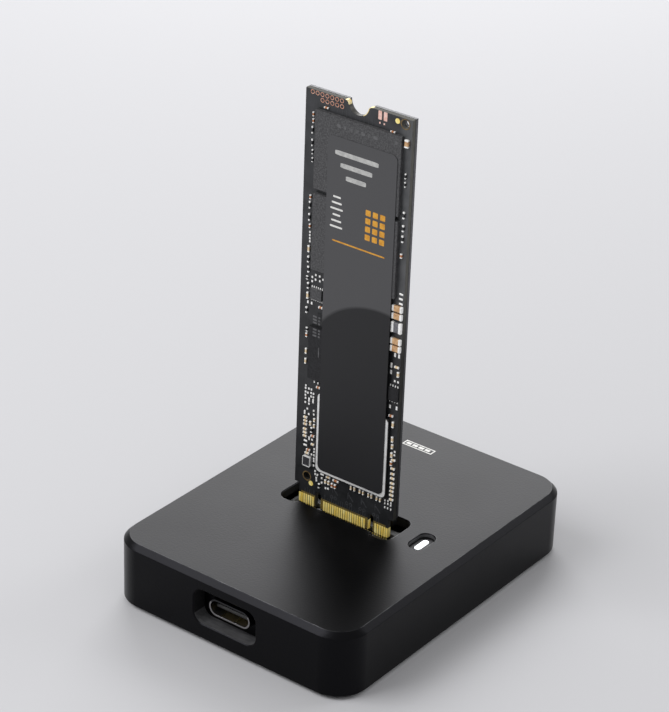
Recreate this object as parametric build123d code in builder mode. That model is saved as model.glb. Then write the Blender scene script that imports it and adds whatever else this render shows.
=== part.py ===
from build123d import *
import os

# A pocket docking station for a storage stick, in millimetres.
# The origin is on the table under the middle of the dock, +Z is up and -Y is the side with the
# USB-C receptacle. The stick stands in the slot with its label towards -Y, its tip just inside
# the socket's mouth.

# Shell
dock_width = 52.0
dock_depth = 67.6
shell_height = 12.7
corner_radius = 6.0
edge_chamfer = 1.0
rim_bevel = 0.4
side_wall = 1.8
top_wall = 1.7
break_edge = 0.2

# Slot in the top, with a wider pocket at each end for the stick's edges
slot_length = 24.4
slot_width = 6.2
ear_length = 3.75
ear_width = 8.0
ear_round = 1.7
ear_inner_round = 0.3

# Window of the indicator
window_side = 9.1
window_length = 5.8
window_width = 3.1
window_depth = 0.7
lens_length = 3.5
lens_width = 1.15
lens_gap = 0.1
flange_margin = 0.6
flange_height = 0.8
led_length = 1.6
led_width = 0.8
led_height = 0.6
led_air_gap = 0.4

# Feet and bottom cover
foot_proud = 0.4
foot_pocket = 0.5
foot_side_margin = 10.0
foot_width = 5.0
foot_end_margin = 6.3
foot_gap = 0.1
cover_inset = 0.2
cover_thickness = 1.4
cover_gap = 0.15

# Screws and the posts that take them
post_width = 5.6
post_inset = 3.0
thread_radius = 1.0
thread_gap = 0.05
hole_gap = 0.15
cover_head_radius = 1.8
cover_screw_length = 6.0
driver_radius = 0.75
driver_depth = 0.5
board_post_radius = 2.1
board_post_side = 5.4
board_post_end = 19.8
board_head_radius = 1.8
board_head_height = 1.1
board_screw_length = 5.0

# USB-C receptacle and the recess around it
recess_width = 13.6
recess_height = 6.8
recess_radius = 2.0
recess_depth = 3.0
recess_wall = 1.2
usb_centre_height = 6.6
usb_width = 8.94
usb_height = 3.26
usb_metal = 0.3
usb_length = 9.3
usb_setback = 1.45
usb_hole_gap = 0.15
usb_base_length = 2.2
usb_fit_gap = 0.05
usb_tongue_width = 6.69
usb_tongue_thickness = 0.7
usb_tongue_setback = 0.8
usb_pin_pitch = 0.5
usb_pin_count = 12
usb_pin_width = 0.25
usb_pin_thickness = 0.05
usb_pin_length = 4.0
usb_tail_length = 1.0
usb_tab_length = 1.1
usb_tab_spread = 3.6
tab_gap = 0.1

# Main board
board_thickness = 1.0
board_gap = 0.4

# Storage stick: a board 22 by 80 with a key tongue
stick_width = 22.0
stick_length = 80.0
drawn_length = 80.0
stick_thickness = 0.8
stick_front_y = -0.66
tip_below_top = 1.94
tongue_width = 19.85
tongue_length = 4.0
shoulder_round = 0.5
tip_bevel = 0.15
key_width = 1.2
key_depth = 3.5
left_key_x = -5.625
right_key_x = 6.125
notch_radius = 2.2
notch_shoulder = 0.7
plating = 0.12
tooling_hole_radius = 0.75
upper_hole_x = 9.55
upper_hole_drop = 1.0
lower_hole = (-8.3, 5.9)
pin_pitch = 0.5
front_pin_count = 38
rear_pin_count = 37
pad_width = 0.36
pad_thickness = 0.04
pad_height = 2.1

# Parts on the stick's front
package_rise = 0.7
flash_width = 17.8
flash_length = 14.3
flash_x = 0.5
flash_centres = (54.55, 69.75)
memory_width = 12.0
memory_length = 10.2
memory_left = -8.4
memory_centre = 31.3
lid_width = 15.3
lid_length = 15.8
lid_x = 1.7
lid_centre = 16.2
lid_thickness = 0.15
lid_radius = 0.9
lid_lip = 0.25
label_thickness = 0.12
label_lip = 0.5
label_top = 73.4
label_radius = 1.1
chip_rise = 0.5
left_chip = (-7.1, 42.4)
left_chip_size = (2.3, 2.4)
right_chip = (10.0, 29.1)
right_chip_size = (1.6, 2.6)
crystal_centre = (-8.0, 8.9)
crystal_size = (2.0, 2.2)
capacitor_size = (1.7, 1.0)
capacitor_x = 10.0
capacitor_heights = (37.9, 39.3, 42.0, 44.1, 45.6)
small_rise = 0.3
small_size = (0.3, 0.6)
left_column = (-9.15, 54.0)
left_column_count = 32
right_column = (10.3, 15.0)
right_column_count = 12
column_pitch = 1.35

# Plate on the stick's back
adhesive_thickness = 0.1
spreader_thickness = 0.6
spreader_foot = 4.3
spreader_notch_margin = 0.35
adhesive_margin = 1.0

# Upright socket under the slot
socket_length = 23.0
socket_width = 5.4
socket_top_gap = 0.1
socket_clear = 0.15
socket_end_clear = 0.2
socket_flare = 0.45
socket_edge = 0.4
tip_gap = 0.3
shoulder_gap = 0.25
key_play = 0.15
key_top_gap = 0.3
contact_width = 0.26
contact_thickness = 0.2
contact_gap = 0.04
contact_setback = 0.05
contact_cover = 0.8
tail_thickness = 0.2
tail_reach = 1.0
peg_radius = 0.8
peg_x = 10.2
hold_down_width = 3.0
hold_down_foot = 1.5
hold_down_height = 2.5
hold_down_metal = 0.25

# Circuit of the bridge
bridge_size = 7.0
bridge_height = 0.9
bridge_place = (-6.5, -14.0)
memory_chip_size = (5.0, 4.0)
memory_chip_height = 1.5
memory_chip_place = (7.0, -13.0)
lead_width = 0.4
lead_pitch = 1.27
lead_reach = 1.0
regulator_size = (3.0, 3.0)
regulator_height = 0.9
regulator_place = (-9.0, 15.0)
inductor_size = 4.2
inductor_height = 2.0
inductor_place = (-2.5, 15.0)
crystal_can = (3.2, 2.5)
crystal_can_height = 0.8
crystal_can_place = (0.5, -15.5)
bulk_size = (2.0, 1.25)
bulk_height = 1.2
bulk_place = (6.5, 15.0)
bulk_pitch = (3.0, 2.6)
resistor_size = (1.0, 0.5)
resistor_height = 0.35
resistor_place = (-6.5, -8.0)
resistor_pitch = (1.8, 1.4)

# Levels and places that follow
shell_bottom = foot_proud
shell_top = shell_bottom + shell_height
inner_top = shell_top - top_wall
cavity_width = dock_width - 2 * side_wall
cavity_depth = dock_depth - 2 * side_wall
cavity_radius = corner_radius - side_wall
foot_length = dock_width - 2 * foot_side_margin
foot_y = dock_depth / 2 - foot_end_margin
board_post_x = dock_width / 2 - board_post_side
board_post_y = dock_depth / 2 - board_post_end
board_posts = ((board_post_x, -board_post_y), (-board_post_x, board_post_y))
front_face = -dock_depth / 2
recess_floor = front_face + recess_depth
recess_back = recess_floor + recess_wall
block_width = recess_width + 2 * recess_wall
cover_bottom = shell_bottom + cover_inset
cover_top = cover_bottom + cover_thickness
post_x = cavity_width / 2 - post_inset
post_y = cavity_depth / 2 - post_inset
usb_centre = shell_bottom + usb_centre_height
board_top = usb_centre - usb_height / 2
board_bottom = board_top - board_thickness
usb_mouth = front_face + usb_setback
usb_back = usb_mouth + usb_length
tip_level = shell_top - tip_below_top
stick_back_y = stick_front_y + stick_thickness
stick_middle_y = stick_front_y + stick_thickness / 2
socket_top = inner_top - socket_top_gap
socket_bottom = board_top + tail_thickness
seated_tip = socket_top + shoulder_gap - tongue_length
socket_floor = seated_tip - tip_gap
socket_slot = stick_thickness + 2 * socket_clear
key_top = seated_tip + key_depth - key_top_gap
window_x = dock_width / 2 - window_side
lens_top = shell_top - window_depth
board_share = stick_length / drawn_length
label_bottom = (lid_centre - lid_length / 2 + label_lip) * board_share
label_left = lid_x - lid_width / 2 + label_lip
label_right = lid_x + lid_width / 2 - label_lip
label_upper_end = label_top * board_share
upper_hole = (upper_hole_x, stick_length - upper_hole_drop)
spreader_front_y = stick_back_y + adhesive_thickness


def facing_front(y):
    """A plane at depth y that looks towards the receptacle side, drawn in x and z."""
    return Plane(origin=(0, y, 0), x_dir=(1, 0, 0), z_dir=(0, -1, 0))


def on_stick(y):
    """The same, with heights counted from the stick's tip."""
    return Plane(origin=(0, y, tip_level), x_dir=(1, 0, 0), z_dir=(0, -1, 0))


def across(x, y, z):
    """A plane square to the X axis, drawn in y and z about the given point."""
    return Plane(origin=(x, y, z), x_dir=(0, 1, 0), z_dir=(1, 0, 0))


def pin_places(count, *keys):
    """Places of a row of pins along X, with the ones in each key's gap left out."""
    first = -(count - 1) * pin_pitch / 2
    places = [first + pin_pitch * i for i in range(count)]
    half_gap = key_width / 2 + pin_pitch * 0.6
    return [x for x in places if all(abs(x - key) > half_gap for key in keys)]


def keep(piece, name):
    """Labels a finished piece and writes it under its name."""
    piece.part.label = name
    export_step(piece.part, f"parts/{name}.step")


os.makedirs("parts", exist_ok=True)

# Top housing: shell, posts, recess, slot and window
with BuildPart() as top_housing:
    with BuildSketch(Plane.XY.offset(shell_bottom)):
        RectangleRounded(dock_width, dock_depth, corner_radius)
    extrude(amount=shell_height)
    chamfer(top_housing.faces().sort_by(Axis.Z)[-1].edges(), edge_chamfer)
    chamfer(top_housing.faces().sort_by(Axis.Z)[0].edges(), rim_bevel)
    with BuildSketch(Plane.XY.offset(shell_bottom)):
        RectangleRounded(cavity_width, cavity_depth, cavity_radius)
    extrude(amount=shell_height - top_wall, mode=Mode.SUBTRACT)
    with BuildSketch(Plane.XY.offset(cover_top)):
        with GridLocations(2 * post_x, 2 * post_y, 2, 2):
            Rectangle(post_width, post_width)
        with Locations((0, (front_face + recess_back) / 2 + side_wall / 2)):
            Rectangle(block_width, recess_back - front_face - side_wall)
    extrude(amount=inner_top - cover_top)
    with BuildSketch(Plane.XY.offset(board_top)):
        with Locations(board_posts):
            Circle(board_post_radius)
    extrude(amount=inner_top - board_top)
    with BuildSketch(Plane.XY.offset(cover_top)):
        with GridLocations(2 * post_x, 2 * post_y, 2, 2):
            Circle(thread_radius + thread_gap)
    extrude(amount=cover_screw_length, mode=Mode.SUBTRACT)
    with BuildSketch(Plane.XY.offset(board_top)):
        with Locations(board_posts):
            Circle(thread_radius + thread_gap)
    extrude(amount=board_screw_length, mode=Mode.SUBTRACT)
    with BuildSketch(facing_front(front_face)):
        with Locations((0, usb_centre)):
            RectangleRounded(recess_width, recess_height, recess_radius)
    extrude(amount=-recess_depth, mode=Mode.SUBTRACT)
    with BuildSketch(facing_front(recess_floor)):
        with Locations((0, usb_centre)):
            SlotOverall(usb_width + 2 * usb_hole_gap, usb_height + 2 * usb_hole_gap)
    extrude(amount=-recess_wall, mode=Mode.SUBTRACT)
    with BuildSketch(Plane.XY.offset(shell_top)) as slot_outline:
        Rectangle(slot_length, slot_width)
        with GridLocations(slot_length - ear_length, 0, 2, 1):
            Rectangle(ear_length, ear_width)
        ear_corners = slot_outline.vertices().filter_by(lambda v: abs(v.Y) > ear_width / 2 - break_edge)
        fillet(ear_corners.filter_by(lambda v: abs(v.X) > slot_length / 2 - break_edge), ear_round)
        ear_corners = slot_outline.vertices().filter_by(lambda v: abs(v.Y) > ear_width / 2 - break_edge)
        inner_line = slot_length / 2 - ear_length
        fillet(ear_corners.filter_by(lambda v: abs(v.X) < inner_line + break_edge), ear_inner_round)
    extrude(amount=-top_wall, mode=Mode.SUBTRACT)
    with BuildSketch(Plane.XY.offset(shell_top)):
        with Locations((window_x, 0)):
            SlotOverall(window_length, window_width, rotation=90)
    extrude(amount=-window_depth, mode=Mode.SUBTRACT)
    with BuildSketch(Plane.XY.offset(lens_top)):
        with Locations((window_x, 0)):
            SlotOverall(lens_length + 2 * lens_gap, lens_width + 2 * lens_gap, rotation=90)
    extrude(amount=window_depth - top_wall, mode=Mode.SUBTRACT)
    top_face = top_housing.faces().sort_by(Axis.Z)[-1]
    front_wall = top_housing.faces().filter_by(Axis.Y).sort_by(Axis.Y)[0]
    openings = [edge for wire in top_face.inner_wires() + front_wall.inner_wires() for edge in wire.edges()]
    chamfer(openings, break_edge)
keep(top_housing, "top_housing")

# Bottom cover, seated on the corner posts
underside = Plane(origin=(0, 0, cover_bottom), x_dir=(1, 0, 0), z_dir=(0, 0, -1))
with BuildPart(underside) as bottom_cover:
    with BuildSketch(Plane.XY.offset(cover_bottom)):
        RectangleRounded(
            cavity_width - 2 * cover_gap, cavity_depth - 2 * cover_gap, cavity_radius - cover_gap
        )
    extrude(amount=cover_thickness)
    with GridLocations(2 * post_x, 2 * post_y, 2, 2):
        CounterSinkHole(thread_radius + hole_gap, cover_head_radius + hole_gap, counter_sink_angle=90)
    with BuildSketch(Plane.XY.offset(cover_bottom)):
        with GridLocations(0, 2 * foot_y, 1, 2):
            Rectangle(foot_length + 2 * foot_gap, foot_width + 2 * foot_gap)
    extrude(amount=foot_pocket, mode=Mode.SUBTRACT)
keep(bottom_cover, "bottom_cover")

# Rubber feet in their pockets
for foot_name, foot_side in (("front_foot", -1), ("rear_foot", 1)):
    with BuildPart() as foot:
        with BuildSketch():
            with Locations((0, foot_side * foot_y)):
                Rectangle(foot_length, foot_width)
        extrude(amount=cover_bottom + foot_pocket)
        chamfer(foot.faces().sort_by(Axis.Z)[0].edges(), break_edge)
    keep(foot, foot_name)

# Countersunk cover screws, heads down
head_bottom = cover_bottom
head_cone = cover_head_radius - thread_radius
with BuildPart() as cover_screw:
    with BuildSketch(Plane.XZ):
        with BuildLine():
            Polyline(
                (0, head_bottom),
                (cover_head_radius, head_bottom),
                (thread_radius, head_bottom + head_cone),
                (thread_radius, head_bottom + cover_screw_length),
                (0, head_bottom + cover_screw_length),
                close=True,
            )
        make_face()
    revolve(axis=Axis.Z)
    with BuildSketch(Plane.XY.offset(head_bottom)):
        RegularPolygon(driver_radius, 6)
    extrude(amount=driver_depth, mode=Mode.SUBTRACT)
with BuildPart() as cover_screws:
    with GridLocations(2 * post_x, 2 * post_y, 2, 2):
        add(cover_screw.part)
keep(cover_screws, "cover_screws")

# Pan-head board screws, driven up into the short posts
with BuildPart() as board_screw:
    with BuildSketch(Plane.XY.offset(board_bottom)):
        Circle(board_head_radius)
    extrude(amount=-board_head_height)
    chamfer(board_screw.faces().sort_by(Axis.Z)[0].edges(), board_head_height / 3)
    with BuildSketch(Plane.XY.offset(board_bottom)):
        Circle(thread_radius)
    extrude(amount=board_screw_length)
    with BuildSketch(Plane.XY.offset(board_bottom - board_head_height)):
        RegularPolygon(driver_radius, 6)
    extrude(amount=driver_depth, mode=Mode.SUBTRACT)
with BuildPart() as board_screws:
    with Locations(board_posts):
        add(board_screw.part)
keep(board_screws, "board_screws")

# Main board, cut round the posts and the receptacle's block
usb_middle = (recess_back + board_gap + usb_back) / 2
tab_x = usb_width / 2 - usb_metal / 2
with BuildPart() as main_board:
    with BuildSketch(Plane.XY.offset(board_bottom)):
        RectangleRounded(
            cavity_width - 2 * board_gap, cavity_depth - 2 * board_gap, cavity_radius - board_gap
        )
        with GridLocations(2 * post_x, 2 * post_y, 2, 2):
            Rectangle(post_width + 2 * board_gap, post_width + 2 * board_gap, mode=Mode.SUBTRACT)
        with Locations((0, (front_face + recess_back + board_gap) / 2)):
            Rectangle(
                block_width + 2 * board_gap, recess_back + board_gap - front_face, mode=Mode.SUBTRACT
            )
        with Locations(board_posts):
            Circle(thread_radius + hole_gap, mode=Mode.SUBTRACT)
        with Locations((0, usb_middle)):
            with GridLocations(2 * tab_x, usb_tab_spread, 2, 2):
                Rectangle(usb_metal + 2 * tab_gap, usb_tab_length + 2 * tab_gap, mode=Mode.SUBTRACT)
        with Locations((0, stick_middle_y)):
            with GridLocations(2 * peg_x, 0, 2, 1):
                Circle(peg_radius + thread_gap, mode=Mode.SUBTRACT)
    extrude(amount=board_thickness)
keep(main_board, "main_board")

# USB-C receptacle: drawn metal shell with four solder tabs
with BuildPart() as usb_shell:
    with BuildSketch(facing_front(usb_mouth)):
        with Locations((0, usb_centre)):
            SlotOverall(usb_width, usb_height)
            SlotOverall(usb_width - 2 * usb_metal, usb_height - 2 * usb_metal, mode=Mode.SUBTRACT)
    extrude(amount=-usb_length)
    with BuildSketch(Plane.XY.offset(usb_centre)):
        with Locations((0, usb_middle)):
            with GridLocations(2 * tab_x, usb_tab_spread, 2, 2):
                Rectangle(usb_metal, usb_tab_length)
    extrude(amount=board_bottom - usb_centre)
keep(usb_shell, "usb_shell")

# Receptacle's moulding: a base in the back of the shell and the tongue in its mouth
usb_base_front = usb_back - usb_base_length
tongue_front = usb_mouth + usb_tongue_setback
with BuildPart() as usb_insert:
    with BuildSketch(facing_front(usb_back)):
        with Locations((0, usb_centre)):
            SlotOverall(
                usb_width - 2 * usb_metal - 2 * usb_fit_gap, usb_height - 2 * usb_metal - 2 * usb_fit_gap
            )
    extrude(amount=usb_base_length)
    with BuildSketch(facing_front(usb_base_front)):
        with Locations((0, usb_centre)):
            Rectangle(usb_tongue_width, usb_tongue_thickness)
    extrude(amount=usb_base_front - tongue_front)
    chamfer(
        usb_insert.faces().filter_by(Axis.Y).sort_by(Axis.Y)[0].edges().filter_by(Axis.X),
        usb_tongue_thickness / 4,
    )
keep(usb_insert, "usb_insert")

# Receptacle's contacts: a row on each side of the tongue, and the solder tails behind
pin_start = tongue_front + usb_tongue_thickness
with BuildPart() as usb_contacts:
    for side in (-1, 1):
        layer = usb_centre + side * (usb_tongue_thickness + usb_pin_thickness) / 2
        with BuildSketch(Plane.XY.offset(layer - usb_pin_thickness / 2)):
            with Locations((0, pin_start + usb_pin_length / 2)):
                with GridLocations(usb_pin_pitch, 0, usb_pin_count, 1):
                    Rectangle(usb_pin_width, usb_pin_length)
        extrude(amount=usb_pin_thickness)
    with BuildSketch(Plane.XY.offset(board_top)):
        with Locations((0, usb_back + usb_tail_length / 2)):
            with GridLocations(usb_pin_pitch, 0, usb_pin_count, 1):
                Rectangle(usb_pin_width, usb_tail_length)
    extrude(amount=usb_pin_width)
keep(usb_contacts, "usb_contacts")

# Upright socket: moulded body with a flared, keyed slot and a groove for every contact
socket_centre = Plane(origin=(0, stick_middle_y, 0))
front_pins = pin_places(front_pin_count, left_key_x)
rear_pins = pin_places(rear_pin_count, left_key_x)
groove_reach = socket_slot / 2 + contact_setback + contact_thickness + contact_gap
groove_top = socket_top - contact_cover
with BuildPart() as socket_body:
    with BuildSketch(socket_centre.offset(socket_bottom)):
        Rectangle(socket_length, socket_width)
    extrude(amount=socket_top - socket_bottom)
    chamfer(socket_body.faces().sort_by(Axis.Z)[-1].edges(), socket_edge)
    with BuildSketch(socket_centre.offset(socket_top)):
        Rectangle(tongue_width + 2 * socket_end_clear, socket_slot)
    extrude(amount=socket_floor - socket_top, mode=Mode.SUBTRACT)
    mouth = socket_body.faces().sort_by(Axis.Z)[-1].inner_wires()[0]
    chamfer(mouth.edges(), socket_flare)
    with BuildSketch(socket_centre.offset(socket_bottom)):
        for pins, side in ((front_pins, -1), (rear_pins, 1)):
            with Locations([(x, side * groove_reach / 2) for x in pins]):
                Rectangle(contact_width + 2 * contact_gap, groove_reach)
    extrude(amount=groove_top - socket_bottom, mode=Mode.SUBTRACT)
    with BuildSketch(socket_centre.offset(socket_bottom)):
        with Locations((left_key_x, 0)):
            Rectangle(key_width - 2 * key_play, socket_slot)
    extrude(amount=key_top - socket_bottom)
    with BuildSketch(socket_centre.offset(socket_bottom)):
        with GridLocations(2 * peg_x, 0, 2, 1):
            Circle(peg_radius)
    extrude(amount=board_bottom - socket_bottom)
keep(socket_body, "socket_body")

# Socket contacts: an upright blade in each groove with a tail out over the board
blade_face = socket_slot / 2 + contact_setback
tail_end = socket_width / 2 + tail_reach
for row_name, pins, side in (
    ("socket_contacts_front", front_pins, -1),
    ("socket_contacts_rear", rear_pins, 1),
):
    with BuildPart() as socket_row:
        with BuildSketch(*[across(x - contact_width / 2, stick_middle_y, 0) for x in pins]):
            with BuildLine():
                Polyline(
                    (side * blade_face, board_top),
                    (side * tail_end, board_top),
                    (side * tail_end, board_top + tail_thickness),
                    (side * (blade_face + contact_thickness), board_top + tail_thickness),
                    (side * (blade_face + contact_thickness), groove_top - contact_gap),
                    (side * blade_face, groove_top - contact_gap),
                    close=True,
                )
            make_face()
        extrude(amount=contact_width)
    keep(socket_row, row_name)

# Sheet-metal hold-downs at the socket's ends
with BuildPart() as socket_hold_downs:
    for side in (-1, 1):
        end = side * socket_length / 2
        with BuildSketch(facing_front(stick_middle_y + hold_down_width / 2)):
            with BuildLine():
                Polyline(
                    (end, board_top),
                    (end + side * hold_down_foot, board_top),
                    (end + side * hold_down_foot, board_top + hold_down_metal),
                    (end + side * hold_down_metal, board_top + hold_down_metal),
                    (end + side * hold_down_metal, board_top + hold_down_height),
                    (end, board_top + hold_down_height),
                    close=True,
                )
            make_face()
        extrude(amount=hold_down_width)
keep(socket_hold_downs, "socket_hold_downs")

# Bridge circuit on the main board
with BuildPart() as bridge_controller:
    with BuildSketch(Plane.XY.offset(board_top)):
        with Locations(bridge_place):
            Rectangle(bridge_size, bridge_size)
    extrude(amount=bridge_height)
    chamfer(bridge_controller.faces().sort_by(Axis.Z)[-1].edges(), break_edge)
keep(bridge_controller, "bridge_controller")

with BuildPart() as firmware_chip:
    with BuildSketch(Plane.XY.offset(board_top)):
        with Locations(memory_chip_place):
            Rectangle(*memory_chip_size)
    extrude(amount=memory_chip_height)
    chamfer(firmware_chip.faces().sort_by(Axis.Z)[-1].edges().filter_by(Axis.X), break_edge)
    with BuildSketch(Plane.XY.offset(board_top)):
        with Locations(memory_chip_place):
            with GridLocations(lead_pitch, 0, 4, 1):
                Rectangle(lead_width, memory_chip_size[1] + 2 * lead_reach)
    extrude(amount=break_edge)
keep(firmware_chip, "firmware_chip")

with BuildPart() as voltage_regulator:
    with BuildSketch(Plane.XY.offset(board_top)):
        with Locations(regulator_place):
            Rectangle(*regulator_size)
    extrude(amount=regulator_height)
    chamfer(voltage_regulator.faces().sort_by(Axis.Z)[-1].edges(), break_edge)
keep(voltage_regulator, "voltage_regulator")

with BuildPart() as power_inductor:
    with BuildSketch(Plane.XY.offset(board_top)):
        with Locations(inductor_place):
            Rectangle(inductor_size, inductor_size)
    extrude(amount=inductor_height)
    chamfer(power_inductor.faces().sort_by(Axis.Z)[-1].edges(), break_edge)
keep(power_inductor, "power_inductor")

with BuildPart() as clock_crystal:
    with BuildSketch(Plane.XY.offset(board_top)):
        with Locations(crystal_can_place):
            Rectangle(*crystal_can)
    extrude(amount=crystal_can_height)
keep(clock_crystal, "clock_crystal")

with BuildPart() as filter_capacitors:
    with BuildSketch(Plane.XY.offset(board_top)):
        with Locations(bulk_place):
            with GridLocations(*bulk_pitch, 3, 2):
                Rectangle(*bulk_size)
    extrude(amount=bulk_height)
keep(filter_capacitors, "filter_capacitors")

with BuildPart() as board_resistors:
    with BuildSketch(Plane.XY.offset(board_top)):
        with Locations(resistor_place):
            with GridLocations(*resistor_pitch, 4, 2):
                Rectangle(*resistor_size)
    extrude(amount=resistor_height)
keep(board_resistors, "board_resistors")

# Indicator: lamp on the board and the light pipe over it
with BuildPart() as status_led:
    with BuildSketch(Plane.XY.offset(board_top)):
        with Locations((window_x, 0)):
            Rectangle(led_width, led_length)
    extrude(amount=led_height)
keep(status_led, "status_led")

with BuildPart() as light_pipe:
    with BuildSketch(Plane.XY.offset(inner_top)):
        with Locations((window_x, 0)):
            SlotOverall(lens_length, lens_width, rotation=90)
    extrude(amount=lens_top - inner_top)
    with BuildSketch(Plane.XY.offset(inner_top)):
        with Locations((window_x, 0)):
            SlotOverall(lens_length + 2 * flange_margin, lens_width + 2 * flange_margin, rotation=90)
    extrude(amount=-flange_height)
    pipe_length = inner_top - flange_height - (board_top + led_height + led_air_gap)
    with BuildSketch(Plane.XY.offset(inner_top - flange_height)):
        with Locations((window_x, 0)):
            Rectangle(lens_width, lens_length)
    extrude(amount=-pipe_length)
keep(light_pipe, "light_pipe")

# Stick board: outline with screw notch, shoulders, key notches and holes
with BuildPart() as stick_board:
    with BuildSketch(on_stick(stick_back_y)) as board_outline:
        with Locations((0, (tongue_length + stick_length) / 2)):
            Rectangle(stick_width, stick_length - tongue_length)
        with Locations((0, tongue_length / 2)):
            Rectangle(tongue_width, tongue_length)
        inner_corners = board_outline.vertices().filter_by(
            lambda v: abs(v.Y - tongue_length) < break_edge and abs(v.X) < stick_width / 2 - break_edge
        )
        fillet(inner_corners, shoulder_round / 2)
        with Locations((0, stick_length)):
            Circle(notch_radius, mode=Mode.SUBTRACT)
        notch_corners = board_outline.vertices().filter_by(
            lambda v: v.Y > stick_length - break_edge and abs(v.X) < stick_width / 4
        )
        fillet(notch_corners, notch_shoulder)
        for key_x in (left_key_x, right_key_x):
            with Locations((key_x, (key_depth - key_width / 2) / 2)):
                Rectangle(key_width, key_depth - key_width / 2, mode=Mode.SUBTRACT)
            with Locations((key_x, key_depth - key_width / 2)):
                Circle(key_width / 2, mode=Mode.SUBTRACT)
        with Locations(upper_hole, lower_hole):
            Circle(tooling_hole_radius, mode=Mode.SUBTRACT)
    extrude(amount=stick_thickness)
    tip_edges = stick_board.faces().filter_by(Axis.Z).sort_by(Axis.Z).group_by(Axis.Z)[0].edges()
    chamfer(tip_edges.filter_by(Axis.X), tip_bevel)
keep(stick_board, "stick_board")

# Gold lining of the screw notch
with BuildPart() as notch_plating:
    with BuildSketch(on_stick(stick_back_y)):
        add(board_outline.sketch_local)
        offset(amount=plating)
        add(board_outline.sketch_local, mode=Mode.SUBTRACT)
        with Locations((0, stick_length - notch_radius)):
            Rectangle(2 * (notch_radius + notch_shoulder), 2 * notch_radius, mode=Mode.INTERSECT)
    extrude(amount=stick_thickness)
keep(notch_plating, "notch_plating")

# Edge contacts of the stick, folded in over the bevelled tip
for pad_name, face_y, side, count in (
    ("edge_contacts_front", stick_front_y, -1, front_pin_count),
    ("edge_contacts_rear", stick_back_y, 1, rear_pin_count),
):
    pads = pin_places(count, left_key_x, right_key_x)
    with BuildPart() as edge_contacts:
        with BuildSketch(*[across(x - pad_width / 2, face_y, tip_level) for x in pads]):
            with BuildLine():
                Polyline(
                    (0, pad_height),
                    (0, tip_bevel),
                    (-side * tip_bevel, 0),
                    (side * (pad_thickness - tip_bevel), 0),
                    (side * pad_thickness, tip_bevel),
                    (side * pad_thickness, pad_height),
                    close=True,
                )
            make_face()
        extrude(amount=pad_width)
    keep(edge_contacts, pad_name)

# Flash packages and the working memory beside the label
for package_name, package_height in zip(("flash_package_lower", "flash_package_upper"), flash_centres):
    with BuildPart() as flash_package:
        with BuildSketch(on_stick(stick_front_y)):
            with Locations((flash_x, package_height * board_share)):
                Rectangle(flash_width, flash_length * board_share)
        extrude(amount=package_rise)
    keep(flash_package, package_name)

with BuildPart() as memory_package:
    with BuildSketch(on_stick(stick_front_y)):
        with Locations((memory_left + memory_width / 2, memory_centre * board_share)):
            Rectangle(memory_width, memory_length * board_share)
    extrude(amount=package_rise)
keep(memory_package, "memory_package")

# Controller and its bright metal lid
with BuildPart() as storage_controller:
    with BuildSketch(on_stick(stick_front_y)):
        with Locations((lid_x, lid_centre * board_share)):
            Rectangle(lid_width - 2 * lid_lip, lid_length * board_share - 2 * lid_lip)
    extrude(amount=package_rise - lid_thickness)
keep(storage_controller, "storage_controller")

with BuildPart() as controller_lid:
    with BuildSketch(on_stick(stick_front_y - package_rise + lid_thickness)):
        with Locations((lid_x, lid_centre * board_share)):
            RectangleRounded(lid_width, lid_length * board_share, lid_radius)
    extrude(amount=lid_thickness)
keep(controller_lid, "controller_lid")

# Label over the packages
with BuildPart() as stick_label:
    with BuildSketch(on_stick(stick_front_y - package_rise)):
        with Locations(((label_left + label_right) / 2, (label_bottom + label_upper_end) / 2)):
            RectangleRounded(label_right - label_left, label_upper_end - label_bottom, label_radius)
    extrude(amount=label_thickness)
keep(stick_label, "stick_label")

# Power chips, crystal, large capacitors and the columns of small parts
with BuildPart() as power_chips:
    with BuildSketch(on_stick(stick_front_y)):
        for (chip_x, chip_place), chip_size in ((left_chip, left_chip_size), (right_chip, right_chip_size)):
            with Locations((chip_x, chip_place * board_share)):
                Rectangle(*chip_size)
    extrude(amount=chip_rise)
keep(power_chips, "power_chips")

with BuildPart() as stick_crystal:
    with BuildSketch(on_stick(stick_front_y)):
        with Locations(crystal_centre):
            Rectangle(*crystal_size)
    extrude(amount=chip_rise)
keep(stick_crystal, "stick_crystal")

with BuildPart() as stick_capacitors:
    with BuildSketch(on_stick(stick_front_y)):
        with Locations([(capacitor_x, height * board_share) for height in capacitor_heights]):
            Rectangle(*capacitor_size)
    extrude(amount=chip_rise)
keep(stick_capacitors, "stick_capacitors")

with BuildPart() as stick_small_parts:
    with BuildSketch(on_stick(stick_front_y)):
        for (column_x, column_height), column_count in (
            (left_column, left_column_count),
            (right_column, right_column_count),
        ):
            with Locations((column_x, column_height * board_share)):
                with GridLocations(0, column_pitch * board_share, 1, column_count):
                    Rectangle(*small_size)
    extrude(amount=small_rise)
keep(stick_small_parts, "stick_small_parts")

# Adhesive and heat spreader on the back
with BuildPart() as spreader_adhesive:
    with BuildSketch(on_stick(spreader_front_y)):
        with Locations((0, (spreader_foot + stick_length - notch_radius) / 2)):
            Rectangle(
                stick_width - 4 * adhesive_margin,
                stick_length - notch_radius - spreader_foot - 2 * adhesive_margin,
            )
    extrude(amount=adhesive_thickness)
keep(spreader_adhesive, "spreader_adhesive")

with BuildPart() as heat_spreader:
    with BuildSketch(on_stick(spreader_front_y + spreader_thickness)):
        with Locations((0, (spreader_foot + stick_length) / 2)):
            Rectangle(stick_width, stick_length - spreader_foot)
        with Locations((0, stick_length)):
            Circle(notch_radius + spreader_notch_margin, mode=Mode.SUBTRACT)
        with Locations(upper_hole):
            Circle(tooling_hole_radius, mode=Mode.SUBTRACT)
    extrude(amount=spreader_thickness)
keep(heat_spreader, "heat_spreader")
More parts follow.
